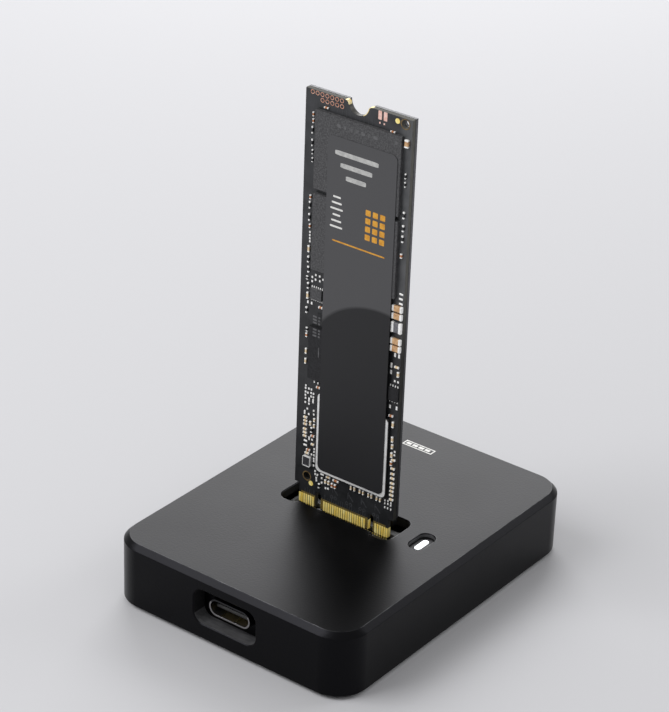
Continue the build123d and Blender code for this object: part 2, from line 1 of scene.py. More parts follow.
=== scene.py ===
# %% [markdown]
# # A docking station with a storage stick standing in it
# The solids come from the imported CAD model, and this script dresses them: camera and light first,
# then one finish after another, then the small pieces that the solids leave out. All lengths in
# the tables are millimetres, because the parts are small, and Blender gets metres.

# %% Load the frame
import math
import random

import bpy
from mathutils import Matrix, Vector


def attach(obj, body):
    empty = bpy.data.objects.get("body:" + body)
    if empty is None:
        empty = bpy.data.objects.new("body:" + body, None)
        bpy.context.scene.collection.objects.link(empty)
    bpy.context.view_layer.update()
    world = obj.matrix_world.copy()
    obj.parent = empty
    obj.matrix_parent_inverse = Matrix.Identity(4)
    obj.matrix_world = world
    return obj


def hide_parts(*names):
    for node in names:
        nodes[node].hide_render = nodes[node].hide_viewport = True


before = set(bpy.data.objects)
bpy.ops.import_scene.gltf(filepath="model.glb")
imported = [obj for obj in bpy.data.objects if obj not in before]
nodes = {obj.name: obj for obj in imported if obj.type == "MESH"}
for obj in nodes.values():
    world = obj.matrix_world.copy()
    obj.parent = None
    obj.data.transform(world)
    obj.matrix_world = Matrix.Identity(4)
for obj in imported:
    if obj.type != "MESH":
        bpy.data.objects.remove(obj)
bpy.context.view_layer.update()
MM = 0.001
TIP = 11.16  # height of the stick's lower end above the table, in millimetres
random.seed(11)
print("CAD nodes:", len(nodes))

# %% [markdown]
# ## Camera
# A long lens about half a metre away, turned 36.5 degrees to the right of the receptacle side and
# 27.8 degrees above it, with a small roll. A long lens keeps the dock's edges nearly parallel.

# %% Camera
AZIMUTH, ELEVATION, ROLL = (math.radians(angle) for angle in (36.52, 27.823, 2.095))
CAMERA_PLACE = (232.67, -319.08, 252.26)
FOCAL_LENGTH, FILM_WIDTH = 130.43, 36
toward = Vector((
    math.sin(AZIMUTH) * math.cos(ELEVATION),
    -math.cos(AZIMUTH) * math.cos(ELEVATION),
    math.sin(ELEVATION),
))
level = Vector((math.cos(AZIMUTH), math.sin(AZIMUTH), 0))
upright = toward.cross(level)
camera_right = math.cos(ROLL) * level + math.sin(ROLL) * upright
camera_up = -math.sin(ROLL) * level + math.cos(ROLL) * upright
axes = Matrix((camera_right, camera_up, toward)).transposed()
lens = bpy.data.cameras.new("camera")
lens.lens = FOCAL_LENGTH
lens.sensor_width = FILM_WIDTH
lens.clip_start = 20 * MM
camera = bpy.data.objects.new("camera", lens)
bpy.context.scene.collection.objects.link(camera)
camera.matrix_world = Matrix.Translation(Vector(CAMERA_PLACE) * MM) @ axes.to_4x4()
bpy.context.scene.camera = camera
bpy.context.scene.view_settings.view_transform = "Standard"
print("camera at", [round(v, 3) for v in camera.matrix_world.translation])

# %% [markdown]
# ## Colours and nodes
# Colours are written as sRGB hex, as a colour picker shows them, and one function makes them
# linear. One more function adds a shader node, sets its sockets and joins its links, and a third
# starts a material, with what is the same all over it on the shader's own sockets.


# %% Colours, nodes and materials
def colour(hex_code):
    """An sRGB hex colour as linear red, green, blue and alpha, by the sRGB standard's formula."""
    parts = [int(hex_code[i:i + 2], 16) / 255 for i in (1, 3, 5)]
    return tuple(c / 12.92 if c <= 0.04045 else ((c + 0.055) / 1.055) ** 2.4 for c in parts) + (1.0,)


def node(tree, kind, settings=None, values=None, links=None):
    """Adds a node to a tree, with its settings, socket values and incoming links."""
    added = tree.nodes.new("ShaderNode" + kind)
    for name, value in (settings or {}).items():
        setattr(added, name, value)
    for name, value in (values or {}).items():
        added.inputs[name].default_value = value
    for name, source in (links or {}).items():
        tree.links.new(source, added.inputs[name])
    return added


def material(name, **sockets):
    """A new material: its tree and its main shader, with constant sockets set."""
    made = bpy.data.materials.new(name)
    made.use_nodes = True
    shader = made.node_tree.nodes["Principled BSDF"]
    for socket, value in sockets.items():
        shader.inputs[socket.replace("_", " ").title().replace("Ior", "IOR")].default_value = value
    print("finish:", name)
    return made, made.node_tree, shader


# %% [markdown]
# ## Floor and light
# The floor is plain and pale, so that the black shell is easy to read. A large soft lamp stands
# where the shell's top face reflects it towards the camera, which is what turns a black metal
# plate grey in a studio. A second one lights the front, and a small one draws the chamfer's line.


# %% Floor
def deselect():
    """Nothing selected: an operator acts on all that is, and the loaded solids start selected."""
    bpy.ops.object.select_all(action="DESELECT")


FLOOR_SIDE = 6  # metres, so that its edge is out of every view
deselect()
bpy.ops.mesh.primitive_plane_add(size=FLOOR_SIDE)
floor = bpy.context.object
floor.name = "floor"
floor_paper = material("floor_paper", base_color=colour("#c0c0c3"), roughness=0.9)[0]
floor.data.materials.append(floor_paper)

# %% Lamps and world
AIM = (0, 0, 13)  # the middle of the shell's top, which every lamp faces
world = bpy.data.worlds.new("studio")
world.use_nodes = True
backdrop = world.node_tree.nodes["Background"]
backdrop.inputs["Color"].default_value = colour("#ffffff")
backdrop.inputs["Strength"].default_value = 0.55
bpy.context.scene.world = world


def softbox(name, place, size, radiance):
    """A rectangular lamp, given by its place, its size and how bright its face is."""
    lamp = bpy.data.lights.new(name, "AREA")
    lamp.shape = "RECTANGLE"
    lamp.size, lamp.size_y = (side * MM for side in size)
    lamp.energy = radiance * math.pi * lamp.size * lamp.size_y
    lamp_object = bpy.data.objects.new(name, lamp)
    bpy.context.scene.collection.objects.link(lamp_object)
    turn = (Vector(place) - Vector(AIM)).to_track_quat("Z", "Y").to_matrix().to_4x4()
    lamp_object.matrix_world = Matrix.Translation(Vector(place) * MM) @ turn
    lamp_object.visible_camera = False


softbox("back_lamp", (-340, 470, 320), (430, 430), 4.2)
softbox("key_lamp", (-325, -385, 530), (420, 420), 5.7)
softbox("chamfer_lamp", (300, 450, 345), (200, 160), 5.5)
print("lamps:", len(bpy.data.lights))

# %% [markdown]
# ## Patterns at real sizes
# The patterns are noise on Object coordinates, which stay with a piece when it moves. Their size
# is given in millimetres, so a moulding's grain is as coarse as it is on the part. Where wear or
# dust makes a surface uneven, one noise leads both its colour and its roughness.


# %% Patterns
def object_place(tree, scale):
    """Object coordinates, stretched by a scale for each axis."""
    coordinates = node(tree, "TexCoord")
    return node(tree, "Mapping", values={"Scale": scale},
                links={"Vector": coordinates.outputs["Object"]}).outputs["Vector"]


def grain(tree, millimetres, detail=2.0, stretch=(1, 1, 1)):
    """Noise whose blobs are about the given size."""
    place = object_place(tree, tuple(v / (millimetres * MM) for v in stretch))
    return node(tree, "TexNoise", values={"Scale": 1.0, "Detail": detail},
                links={"Vector": place}).outputs["Fac"]


def between(tree, amount, low, high, start=0.35, end=0.65):
    """Two colours mixed by a value, over the part of its range where noise has its contrast."""
    ramp = node(tree, "ValToRGB", links={"Fac": amount})
    stops = ramp.color_ramp.elements
    for stop, position, hex_code in zip(stops, (start, end), (low, high)):
        stop.position = position
        stop.color = colour(hex_code)
    return ramp.outputs["Color"]


def rough_between(tree, shader, amount, low, high):
    """Roughness that varies between two values."""
    spread = node(tree, "MapRange", values={"To Min": low, "To Max": high}, links={"Value": amount})
    tree.links.new(spread.outputs["Result"], shader.inputs["Roughness"])


def relief(tree, shader, height, depth, strength=1.0):
    """Fine surface relief of a depth in millimetres."""
    bump = node(tree, "Bump", values={"Distance": depth * MM, "Strength": strength},
                links={"Height": height})
    tree.links.new(bump.outputs["Normal"], shader.inputs["Normal"])


def mottled(name, size, dark, light, roughness, detail=3.0, stretch=(1, 1, 1), **sockets):
    """A material whose colour and roughness follow one noise of a size in millimetres."""
    made, tree, shader = material(name, **sockets)
    noise = grain(tree, size, detail, stretch)
    tree.links.new(between(tree, noise, dark, light), shader.inputs["Base Color"])
    rough_between(tree, shader, noise, *roughness)
    return made


# %% [markdown]
# ## Shell of the dock
# Aluminium, bead-blasted and anodised black. Blasting leaves a fine even grain that blurs
# reflections, and the dye is nearly black, so what the eye sees is mostly reflection. The grain is
# about 0.05 mm and is drawn at 0.4 mm so that it shows. Wide clouds, 14 mm across, make the gloss
# a little uneven, as hands do.

# %% Anodised shell
shell_finish, tree, shader = material("anodised_aluminium", base_color=colour("#1a1a1c"), metallic=1.0)
rough_between(tree, shader, grain(tree, 14.0), 0.34, 0.4)
relief(tree, shader, grain(tree, 0.4, 3.0), 0.014)

# %% [markdown]
# The hair of bevel on the top's edges is painted as a thin line of paler metal, a painted
# highlight. It is a second slot on the same mesh. The lower wall of the receptacle's recess and the
# indicator window's walls are painted matt and paler, painted light, with cutter marks along X.
# The slot's walls and the recess's other walls are painted dull and dark, painted shade.

# %% Painted edge highlight, painted light in the recess, painted shade on the walls
# Painted highlight: a paler line on the bevels of the top's edges.
edge_highlight_paint = mottled("anodised_edge_painted_highlight", 2.5, "#2c2c2e", "#505052", (0.3, 0.42), metallic=1.0)
# Painted light: the recess floor and the window's walls are paler, with cutter marks along X.
milled_painted_light = mottled("milled_recess_painted_light", 0.4, "#414143", "#525254", (0.5, 0.65), stretch=(0.2, 1, 1),
                 metallic=0.2)
# Painted shade: the walls of the slot and the recess are dull and dark.
wall_painted_shade, tree, shader = material("slot_wall_painted_shade", base_color=colour("#161618"), metallic=0.3)
rough_between(tree, shader, grain(tree, 0.5, 3.0), 0.55, 0.7)

# %% [markdown]
# ## Moulded parts
# The sockets are a glass-filled nylon with a fine, even skin. The cover is ABS from a mould that
# was spark eroded, which leaves a coarser leather-like grain. The feet are soft silicone, which
# hardly shines. Each is one dark colour, and its relief has the size of its grain.

# %% Mouldings
plastic, tree, shader = material("black_moulding", base_color=colour("#141415"), roughness=0.5)
relief(tree, shader, grain(tree, 0.35), 0.01)

cover_finish, tree, shader = material("spark_eroded_abs", base_color=colour("#1c1c1e"), roughness=0.6)
relief(tree, shader, grain(tree, 0.6, 4.0), 0.04)

rubber, tree, shader = material("silicone_rubber", base_color=colour("#1a1a1a"), roughness=0.85)
relief(tree, shader, grain(tree, 0.5), 0.02)

# %% [markdown]
# ## Metals
# Drawn steel has fine lines along the draw, so its noise is stretched. Plating and solder on small
# pads and leads never form a clean mirror: they are pale, mottled and half dull. Their metallic
# value is low for that, so that they stay bright where a mirror would show the dim side of the
# studio. The gold round the tooling holes is stained by flux, and the lid's nickel is brushed.

# %% Metal finishes
steel, tree, shader = material("stainless_steel", base_color=colour("#8d8b8c"), metallic=1.0)
rough_between(tree, shader, grain(tree, 1.2, 3.0, (1, 0.1, 1)), 0.22, 0.38)

screw_steel, tree, shader = material("blackened_steel", base_color=colour("#3a3a3c"), metallic=1.0)
rough_between(tree, shader, grain(tree, 0.8), 0.3, 0.5)

DULL_METAL = (0.45, 0.6)
gold = mottled("gold_plating", 0.8, "#f7d560", "#fff0a2", (0.42, 0.55), stretch=(1, 1, 0.3),
               metallic=0.05)
tin = mottled("tinned_metal", 0.5, "#f0efec", "#ffffff", DULL_METAL, metallic=0.15)
copper = mottled("bare_copper", 0.7, "#c9876c", "#e8b9a4", DULL_METAL, metallic=0.5)
pale_copper = mottled("fresh_copper", 0.7, "#e8b4a4", "#f6d2c8", DULL_METAL, metallic=0.3)
bronze = mottled("flux_stained_gold", 0.6, "#5c4a30", "#86704a", DULL_METAL, metallic=0.4)
nickel = mottled("nickel_plate", 1.0, "#e2e2e2", "#f6f6f6", (0.25, 0.4), stretch=(0.2, 1, 1),
                 metallic=0.25)

# %% [markdown]
# ## Where a finish changes on the stick
# A plate shows another colour on its cut edges than on its faces, and the stick's upper half is
# painted lighter, a painted reflection. Both are read from the piece itself: the cut edges from
# the way a face looks, and the upper half from its height above the tip.


# %% Places on the stick
def point(tree):
    """X, Y and Z of Object coordinates, in millimetres."""
    return node(tree, "SeparateXYZ", links={"Vector": object_place(tree, (1 / MM,) * 3)}).outputs


def upper_half(tree):
    """Zero on the stick's lower half and one on its upper half, with a soft step between."""
    return node(tree, "MapRange", values={"From Min": TIP + 36.0, "From Max": TIP + 50.0},
                links={"Value": point(tree)["Z"]}).outputs["Result"]


def looks_sideways(tree, limit=0.5):
    """One on faces whose normal has less than a limit of Y in it, which are a plate's cut edges."""
    coordinates = node(tree, "TexCoord")
    parts = node(tree, "SeparateXYZ", links={"Vector": coordinates.outputs["Normal"]})
    size = node(tree, "Math", {"operation": "ABSOLUTE"}, links={0: parts.outputs["Y"]})
    return node(tree, "Math", {"operation": "LESS_THAN"}, {1: limit}, {0: size.outputs[0]}).outputs[0]


# %% [markdown]
# ## Board of the stick
# The board is glass-fibre laminate under a black solder mask, a smooth half-gloss lacquer. The
# glass cloth's threads, 0.6 mm apart, press through it faintly. The lacquer is painted greyer on
# the upper half, a painted reflection, and greyer still towards its right edge, a painted sheen.
# The cut edges have no lacquer: they show dull layers of glass and resin, also painted lighter on
# the upper half.

# %% Board laminate
COLOURS = {"data_type": "RGBA"}
laminate, tree, shader = material("solder_mask_on_laminate", specular_ior_level=0.4)
# Painted reflection: lacquer and cut edges are painted lighter on the upper half.
upper_painted_reflection = upper_half(tree)
# Painted sheen: the upper half's lacquer is painted lighter towards the right edge.
right_painted_sheen = node(tree, "MapRange", values={"From Min": 8.4, "From Max": 9.4}, links={"Value": point(tree)["X"]})
mottle = grain(tree, 2.5, 4.0)
lacquer_painted_lighter = node(tree, "Mix", COLOURS, links={
    "Factor": right_painted_sheen.outputs["Result"],
    "A": between(tree, mottle, "#292a2c", "#36373a"), "B": between(tree, mottle, "#454648", "#545557"),
})
lacquer_and_painted_reflection = node(tree, "Mix", COLOURS, links={
    "Factor": upper_painted_reflection, "A": between(tree, mottle, "#1b1c1e", "#28292b"), "B": lacquer_painted_lighter.outputs["Result"],
})
layers = grain(tree, 0.4, 3.0, (0.3, 4, 0.3))
# Painted light: the cut edges' glass is lighter on the upper half.
glass_and_painted_light = node(tree, "Mix", COLOURS, links={
    "Factor": upper_painted_reflection,
    "A": between(tree, layers, "#161615", "#2c2b27"), "B": between(tree, layers, "#4c4b48", "#64635e"),
})
cut_edge = looks_sideways(tree)
board_colour = node(tree, "Mix", COLOURS, links={
    "Factor": cut_edge, "A": lacquer_and_painted_reflection.outputs["Result"], "B": glass_and_painted_light.outputs["Result"],
})
tree.links.new(board_colour.outputs["Result"], shader.inputs["Base Color"])
rough_between(tree, shader, cut_edge, 0.36, 0.8)
threads = [
    node(tree, "TexWave", {"bands_direction": axis}, {"Scale": 0.5, "Distortion": 0.6},
         {"Vector": object_place(tree, (1 / MM,) * 3)}).outputs["Fac"]
    for axis in "XZ"
]
weave = node(tree, "Math", {"operation": "ADD"}, links=dict(enumerate(threads)))
relief(tree, shader, weave.outputs[0], 0.004, 0.6)

# %% [markdown]
# ## Epoxy of the packages
# Chips are moulded in black epoxy filled with ground quartz, and the dust of the moulding gives
# them a fine grey speckle. The memory's epoxy is finer ground, so it is smoother, and it is painted
# darker, a painted reflection like the label's darker lower part.

# %% Package epoxy
epoxy, tree, shader = material("moulded_epoxy")
speck = grain(tree, 0.28, 5.0)
tree.links.new(between(tree, speck, "#353537", "#555557", 0.38, 0.68), shader.inputs["Base Color"])
rough_between(tree, shader, speck, 0.55, 0.72)
relief(tree, shader, speck, 0.012)

# Painted reflection: this epoxy is painted darker, for parts in the stick's darker lower part.
epoxy_painted_darker = mottled("fine_epoxy_painted_darker", 0.3, "#18181a", "#28282b", (0.5, 0.65), detail=4.0,
                     specular_ior_level=0.3)

# %% [markdown]
# ## Label film
# The label is a dark polyester film, painted a shade lighter above a soft arc and darker below it,
# a painted reflection in its half-gloss face. The arc is the upper half of a wide ellipse, so a
# point is inside it where the squares of its distances from the middle, each as a share of the
# ellipse's reach, add up to less than one. The tone changes softly from just inside one to just
# outside it.

# %% Label film
ARC_MIDDLE = (7.0, TIP + 30.0)
ARC_REACH = (15.5, 14.2)
film, tree, shader = material("polyester_label_film", specular_ior_level=0.25)
across, above = (
    node(tree, "MapRange", {"clamp": False}, {"From Min": middle, "From Max": middle + reach},
         {"Value": point(tree)[axis]}).outputs["Result"]
    for axis, middle, reach in zip("XZ", ARC_MIDDLE, ARC_REACH)
)
above = node(tree, "Math", {"operation": "MAXIMUM"}, {1: 0.0}, {0: above}).outputs[0]
squares = [
    node(tree, "Math", {"operation": "MULTIPLY"}, links={0: share, 1: share}).outputs[0]
    for share in (across, above)
]
arc = node(tree, "Math", {"operation": "ADD"}, links=dict(enumerate(squares)))
outside = node(tree, "MapRange", values={"From Min": 0.96, "From Max": 1.04}, links={"Value": arc.outputs[0]})
# Painted reflection: darker inside the arc, lighter outside it.
painted_reflection_tone = node(tree, "Mix", COLOURS, {"A": colour("#262628"), "B": colour("#4e4e50")},
                {"Factor": outside.outputs["Result"]})
tree.links.new(painted_reflection_tone.outputs["Result"], shader.inputs["Base Color"])
film_grain = grain(tree, 0.5, 3.0)
rough_between(tree, shader, film_grain, 0.42, 0.5)
relief(tree, shader, film_grain, 0.003)

# %% [markdown]
# ## Lining of the screw notch
# The half-round notch for the holding screw is plated. The plating is dark at the bottom and on the
# left, and bright at the mouth and on the right.

# %% Notch lining
lining, tree, shader = material("notch_plating_dark_and_bright", metallic=0.2, roughness=0.5)
on_right = node(tree, "Math", {"operation": "GREATER_THAN"}, {1: 1.0}, {0: point(tree)["X"]})
at_mouth = node(tree, "Math", {"operation": "GREATER_THAN"}, {1: TIP + 79.3}, {0: point(tree)["Z"]})
bright = node(tree, "Math", {"operation": "MAXIMUM"}, links={0: on_right.outputs[0], 1: at_mouth.outputs[0]})
lining_mottle = grain(tree, 0.6, 3.0)
lining_colour = node(tree, "Mix", COLOURS, links={
    "Factor": bright.outputs[0],
    "A": between(tree, lining_mottle, "#343331", "#4a4844"), "B": between(tree, lining_mottle, "#efd080", "#fdf2c4"),
})
tree.links.new(lining_colour.outputs["Result"], shader.inputs["Base Color"])

# %% [markdown]
# ## Heat spreader
# The plate on the stick's back is aluminium sheet, brushed along its length before it was cut. So
# its face has long fine lines and shines as metal, and its sheared edges are plain and dull,
# painted lighter on the upper half as painted light.

# %% Heat spreader
spreader_finish, tree, shader = material("brushed_spreader")
brush = grain(tree, 0.5, 3.0, (1, 1, 0.04))
shear = grain(tree, 0.5)
# Painted light: the sheared edges are lighter on the stick's upper half.
sheared_and_painted_light = node(tree, "Mix", COLOURS, links={
    "Factor": upper_half(tree),
    "A": between(tree, shear, "#232326", "#333337"), "B": between(tree, shear, "#4e4e52", "#626267"),
})
cut_edge = looks_sideways(tree)
plate_colour = node(tree, "Mix", COLOURS, links={
    "Factor": cut_edge, "A": between(tree, brush, "#38383b", "#46464a"), "B": sheared_and_painted_light.outputs["Result"],
})
tree.links.new(plate_colour.outputs["Result"], shader.inputs["Base Color"])
shine = node(tree, "MapRange", values={"To Min": 1.0, "To Max": 0.2}, links={"Value": cut_edge})
tree.links.new(shine.outputs["Result"], shader.inputs["Metallic"])
rough_between(tree, shader, brush, 0.4, 0.58)
relief(tree, shader, brush, 0.003)

# %% [markdown]
# ## Ceramics, resins and inks
# Capacitors are fired ceramic, resistors are glazed, and ink and solder mask are cured resin. All
# are plain colours with a slight mottle, so one function makes them from two colours and a gloss.


# %% Ceramics, resins and inks
def fired(name, dark, light, roughness=0.45):
    """A fired ceramic or cured resin with a slight mottle."""
    made, tree, shader = material(name, roughness=roughness)
    tree.links.new(between(tree, grain(tree, 0.6, 3.0), dark, light), shader.inputs["Base Color"])
    return made


tan_ceramic = fired("tan_ceramic", "#b98a5e", "#d8b488")
orange_ceramic = fired("orange_ceramic", "#a2603a", "#c98a5a")
cream_ceramic = fired("cream_ceramic", "#d8bd94", "#efdcba")
grey_ceramic = fired("grey_ceramic", "#55555a", "#77777c")
# Painted shade: the crystal's sunken lid is painted dark.
lid_painted_shade = fired("crystal_lid_painted_shade", "#2c2c30", "#3c3c41", 0.5)
resistor_black = fired("resistor_glaze", "#161618", "#232326", 0.3)
ferrite = fired("ferrite_core", "#2c2c30", "#3c3c40", 0.6)
white_ink = fired("white_ink", "#d6d6d4", "#ecebe8", 0.6)
pale_ink = fired("pale_ink", "#a9a9a8", "#bfbfbd", 0.6)
amber_ink = fired("amber_ink", "#c98a22", "#e0a336", 0.55)
dim_ink = fired("laser_mark", "#4a4a4c", "#606062", 0.7)
bare_laminate = fired("bare_laminate", "#5c4d22", "#7c6a30", 0.6)
mask_line = fired("mask_over_copper", "#303134", "#3f4043", 0.35)

# %% [markdown]
# ## Lens of the indicator
# A clear light pipe with a lamp behind it. Seen from outside it is an even white, so it gives off
# a little light of its own, with a slight unevenness.

# %% Lens finish
lens_finish, tree, shader = material("diffusing_polycarbonate", base_color=colour("#f4f6f8"), roughness=0.35)
tree.links.new(between(tree, grain(tree, 1.5, 1.0), "#eef2f6", "#ffffff"), shader.inputs["Emission Color"])
shader.inputs["Emission Strength"].default_value = 1.1

# %% [markdown]
# ## Finishes on the solids
# Each solid of the CAD model gets one finish, whatever slots it came with. Nothing else about the
# solids is touched.

# %% Give each CAD node its finish
FINISHES = {
    "top_housing": shell_finish, "bottom_cover": cover_finish, "cover_screws": screw_steel,
    "board_screws": steel, "front_foot": rubber, "rear_foot": rubber, "main_board": laminate,
    "usb_shell": steel, "usb_insert": plastic, "usb_contacts": gold, "socket_body": plastic,
    "socket_contacts_front": gold, "socket_contacts_rear": gold, "socket_hold_downs": tin,
    "bridge_controller": epoxy, "firmware_chip": epoxy, "voltage_regulator": epoxy,
    "power_inductor": ferrite, "clock_crystal": nickel, "filter_capacitors": tan_ceramic,
    "board_resistors": resistor_black, "status_led": lens_finish, "light_pipe": lens_finish,
    "stick_board": laminate, "notch_plating": lining, "edge_contacts_front": gold,
    "edge_contacts_rear": gold, "flash_package_lower": epoxy, "flash_package_upper": epoxy,
    "memory_package": epoxy_painted_darker, "storage_controller": epoxy, "controller_lid": nickel,
    "stick_label": film, "spreader_adhesive": plastic, "heat_spreader": spreader_finish,
}
for node_name, finish in FINISHES.items():
    slots = nodes[node_name].material_slots
    if not slots:
        nodes[node_name].data.materials.append(finish)
    for material_slot in slots:
        material_slot.material = finish
print("nodes with a new finish:", len(FINISHES))

# %% [markdown]
# ## Shell with softened edges
# The shell's solid has the right shape, but its rounded corners are flat facets and its edges are
# knife sharp, which no real edge is. A merged copy of it gets a hair of bevel, which catches the
# light as on machined metal, and smooth shading. It stands for the CAD node.


# %% Softened copies of solids
def activate(piece):
    """One piece selected and active, as a click on it does."""
    deselect()
    piece.select_set(True)
    bpy.context.view_layer.objects.active = piece


def softened(node_name, name, finishes, bevel, segments, bevel_slot):
    """A merged copy of a CAD node with a hair of bevel on its sharp edges."""
    piece = nodes[node_name].copy()
    piece.data = nodes[node_name].data.copy()
    piece.name = piece.data.name = name
    piece.parent = None
    bpy.context.scene.collection.objects.link(piece)
    for key in [key for key in piece.keys() if key.startswith("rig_")]:
        del piece[key]
    piece.data.materials.clear()
    for finish in finishes:
        piece.data.materials.append(finish)
    activate(piece)
    bpy.ops.object.mode_set(mode="EDIT")
    bpy.ops.mesh.select_all(action="SELECT")
    bpy.ops.mesh.remove_doubles(threshold=0.001 * MM)
    bpy.ops.mesh.dissolve_limited(angle_limit=math.radians(0.5))
    bpy.ops.object.mode_set(mode="OBJECT")
    edge_bevel = piece.modifiers.new("edge_bevel", "BEVEL")
    edge_bevel.width = bevel * MM
    edge_bevel.segments = segments
    edge_bevel.limit_method = "ANGLE"
    edge_bevel.material = bevel_slot
    edge_bevel.angle_limit = math.radians(30)
    bpy.ops.object.modifier_apply(modifier="edge_bevel")
    bpy.ops.object.shade_smooth_by_angle(angle=math.radians(40), keep_sharp_edges=False)
    even_normals = piece.modifiers.new("even_normals", "WEIGHTED_NORMAL")
    even_normals.keep_sharp = True
    even_normals.weight = 100
    bpy.ops.object.modifier_apply(modifier="even_normals")
    print(f"{name}: {len(piece.data.polygons)} faces")
    return piece


# %% Shell
# Slots: blasted finish, painted edge highlight, painted light on floors, painted shade on walls.
BLASTED, HIGHLIGHTED, PAINTED_LIGHT, PAINTED_SHADE = range(4)
shell = softened("top_housing", "shell", (shell_finish, edge_highlight_paint, milled_painted_light, wall_painted_shade), 0.08, 2, HIGHLIGHTED)
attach(shell, "dock")
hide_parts("top_housing")

# %% [markdown]
# The faces of the recess, the slot and the indicator's window lie in boxes of their own, so their
# places pick them out, and the way they look tells a floor from a wall. Only the top's edges get
# the painted highlight: a bevel lower down is as black as the rest.

# %% Walls and floors in the shell
HIGHLIGHT_ABOVE = 12.85
RECESS = (-7.2, -33.6, 3.4), (7.2, -30.85, 11)
RECESS_FLOOR = (-7.2, -33.6, 3.4), (7.2, -30.85, 8)
SLOT = (-12.4, -4.2, 11.3), (12.4, 4.2, 12.85)
WINDOW = (14.7, -3.6, 12.3), (19.1, 3.6, 12.9)


def inside(middle, box):
    """Whether a point lies in a box, given by its two corners."""
    return all(low < value < high for low, value, high in zip(box[0], middle, box[1]))


# Painted light on the recess floor and the window's walls, painted shade on the other walls.
for polygon in shell.data.polygons:
    middle, up = polygon.center / MM, polygon.normal.z
    if polygon.material_index == HIGHLIGHTED and middle.z < HIGHLIGHT_ABOVE:
        polygon.material_index = BLASTED
    if inside(middle, RECESS_FLOOR) and up > 0.3:
        polygon.material_index = PAINTED_LIGHT
    if inside(middle, RECESS) and up <= 0.3:
        polygon.material_index = PAINTED_SHADE
    if inside(middle, SLOT) and abs(up) < 0.5:
        polygon.material_index = PAINTED_SHADE
    if inside(middle, WINDOW) and abs(up) < 0.5:
        polygon.material_index = PAINTED_LIGHT
print("faces of walls and floors:", sum(polygon.material_index > HIGHLIGHTED for polygon in shell.data.polygons))

# %% [markdown]
# ## Receptacle's shell
# The receptacle's shell is drawn from sheet steel, so the rim of its mouth is rolled round. The
# outside is oxidised and dull, and only the inner lip is polished by plugs. Its mouth is a long
# oval, so a face is on the lip where it is nearer than the oval's radius to its middle line.

# %% Receptacle's shell
OVAL_STRAIGHT, OVAL_RADIUS = 2.84, 1.44
NO_SLOT = -1
POLISHED, OXIDISED = range(2)
receptacle = softened("usb_shell", "receptacle_shell", (steel, screw_steel), 0.12, 3, NO_SLOT)
heights = [vertex.co.z / MM for vertex in receptacle.data.vertices]
mouth_middle = (min(heights) + max(heights)) / 2
for polygon in receptacle.data.polygons:
    middle = polygon.center / MM
    if math.hypot(max(abs(middle.x) - OVAL_STRAIGHT, 0), middle.z - mouth_middle) > OVAL_RADIUS:
        polygon.material_index = OXIDISED
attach(receptacle, "dock")
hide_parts("usb_shell")
print("faces of the polished lip:", sum(p.material_index == POLISHED for p in receptacle.data.polygons))

# %% [markdown]
# ## Modelling helpers
# Small electronic parts are all made the same way as by hand: a primitive at its size, shaped in
# edit mode, then copied to each place. A copy gets its own mesh, and the copies of one kind are
# joined into one piece whose object sits at the origin.


# %% Shaping a primitive
def block(name, low, high):
    """A cube primitive between two corners in millimetres, ready to be shaped."""
    deselect()
    bpy.ops.mesh.primitive_cube_add(
        size=1,
        location=[(a + b) / 2 * MM for a, b in zip(low, high)],
        scale=[(b - a) * MM for a, b in zip(low, high)],
    )
    piece = bpy.context.object
    piece.name = piece.data.name = name
    bpy.ops.object.transform_apply(location=True, rotation=True, scale=True)
    return piece


def edit(piece, kind, test):
    """Enters edit mode with only those edges or faces selected that pass a test.
    An edge's test gets its middle in millimetres and its direction, a face's its middle and normal."""
    activate(piece)
    mesh = piece.data
    bpy.context.tool_settings.mesh_select_mode = (False, kind == "EDGE", kind == "FACE")
    for part in (*mesh.vertices, *mesh.edges, *mesh.polygons):
        part.select = False
    if kind == "EDGE":
        for edge in mesh.edges:
            a, b = (mesh.vertices[v].co for v in edge.vertices)
            edge.select = test((a + b) / 2 / MM, (b - a).normalized())
    else:
        for polygon in mesh.polygons:
            polygon.select = test(polygon.center / MM, polygon.normal)
    bpy.ops.object.mode_set(mode="EDIT")


def bevel_edges(piece, width, segments=1, test=lambda middle, direction: True):
    """Bevels the edges that pass a test, or all of them."""
    edit(piece, "EDGE", test)
    bpy.ops.mesh.bevel(offset=width * MM, segments=segments, affect="EDGES")
    bpy.ops.object.mode_set(mode="OBJECT")


WALL_LEAN = 0.01


def sink_face(piece, test, rim, depth):
    """Insets the faces that pass a test by a rim, then sinks the inner face between steep walls."""
    edit(piece, "FACE", test)
    bpy.ops.mesh.inset(thickness=rim * MM, depth=0)
    if depth:
        bpy.ops.mesh.inset(thickness=WALL_LEAN * MM, depth=-depth * MM)
    bpy.ops.object.mode_set(mode="OBJECT")


# %% Painting, joining and copying
def paint_faces(piece, *finishes):
    """Appends finishes; each comes with a test on a face's middle in millimetres and its normal."""
    for finish, test in finishes:
        piece.data.materials.append(finish)
        for polygon in piece.data.polygons:
            if test is None or test(polygon.center / MM, polygon.normal):
                polygon.material_index = len(piece.data.materials) - 1


def join(name, *pieces):
    """Joins finished pieces into the first one and names it."""
    activate(pieces[0])
    for piece in pieces:
        piece.select_set(True)
    if len(pieces) > 1:
        bpy.ops.object.join()
    joined = bpy.context.view_layer.objects.active
    joined.name = joined.data.name = name
    print(f"{name}: {len(joined.data.polygons)} faces")
    return joined


